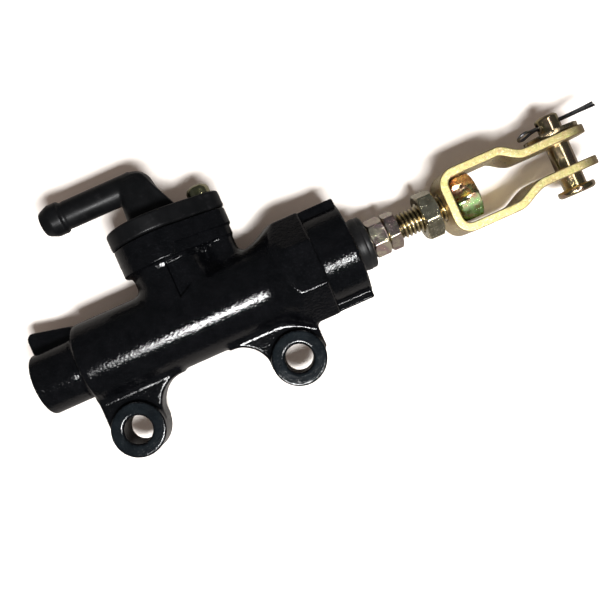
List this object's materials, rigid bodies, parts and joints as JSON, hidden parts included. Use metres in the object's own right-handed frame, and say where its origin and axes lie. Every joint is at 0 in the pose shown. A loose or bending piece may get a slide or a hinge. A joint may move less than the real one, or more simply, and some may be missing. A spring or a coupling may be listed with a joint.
{
  "type": "brake master cylinder",
  "caption": "Cast rear brake master cylinder with lugs, hose elbow, dust boot, push rod and a clevis held by a cotter pin.",
  "frame": {"origin": "on the plane that both mounting lugs stand on, under the bore, in the middle of the length and width", "axes": "+X along the bore from the outlet towards the clevis, +Z towards the fluid inlet, Y along the mounting bolts, whose heads are on the -Y side"},
  "size_m": [0.1822, 0.0314, 0.0786],
  "materials": {
    "black_paint": "gloss black baked paint over a sand-cast surface",
    "black_plastic": "satin moulded plastic",
    "black_rubber": "satin moulded rubber",
    "yellow_zinc": "yellow chromate over zinc, iridescent",
    "green_zinc": "olive chromate over zinc",
    "plain_steel": "bright",
    "dark_steel": "oiled dark",
    "anodised": "turned and anodised"
  },
  "bodies": {
    "cylinder": {"cylinder_body": "black_paint", "inlet_elbow": "black_plastic", "inlet_o_ring": "black_rubber", "inlet_screw": "green_zinc", "return_spring": "plain_steel", "stop_washer": "plain_steel", "snap_ring": "dark_steel", "dust_boot": "black_rubber"},
    "piston_group": {"piston": "anodised", "primary_cup": "black_rubber", "secondary_cup": "black_rubber", "spring_seat": "plain_steel"},
    "rod": {"push_rod": "yellow_zinc", "threaded_stud": "yellow_zinc"},
    "rod_nut": {"rod_lock_nut": "yellow_zinc"},
    "lock_nut": {"clevis_lock_nut": "yellow_zinc"},
    "clevis_group": {"clevis": "yellow_zinc", "clevis_inner_nut": "yellow_zinc"},
    "pin_group": {"clevis_pin": "yellow_zinc", "cotter_pin": "dark_steel"},
    "washer": {"clevis_washer": "yellow_zinc"}
  },
  "joints": [
    {"name": "piston_stroke", "type": "slide", "parent": "cylinder", "child": "piston_group", "axis": [-1, 0, 0], "range_m": [0, 0.01], "stiffness_N_per_m": 1200, "springref_m": -0.012, "deforming": ["return_spring", "dust_boot"]},
    {"name": "push_rod_swing", "type": "hinge", "parent": "piston_group", "child": "rod", "pos_m": [-0.0081, 0, 0.0307], "axis": [0, 0, 1], "range_deg": [-3, 3]},
    {"name": "rod_lock_nut_turn", "type": "hinge", "parent": "rod", "child": "rod_nut", "pos_m": [0.021, 0, 0.0307], "axis": [1, 0, 0], "continuous": true},
    {"name": "clevis_lock_nut_turn", "type": "hinge", "parent": "rod", "child": "lock_nut", "pos_m": [0.0326, 0, 0.0307], "axis": [1, 0, 0], "continuous": true},
    {"name": "clevis_turn", "type": "hinge", "parent": "rod", "child": "clevis_group", "pos_m": [0.0385, 0, 0.0307], "axis": [1, 0, 0], "continuous": true},
    {"name": "clevis_pin_turn", "type": "hinge", "parent": "clevis_group", "child": "pin_group", "pos_m": [0.0757, 0, 0.0307], "axis": [0, 0, 1], "continuous": true},
    {"name": "clevis_washer_turn", "type": "hinge", "parent": "clevis_group", "child": "washer", "pos_m": [0.0751, 0, 0.0374], "axis": [0, 0, 1], "continuous": true}
  ]
}
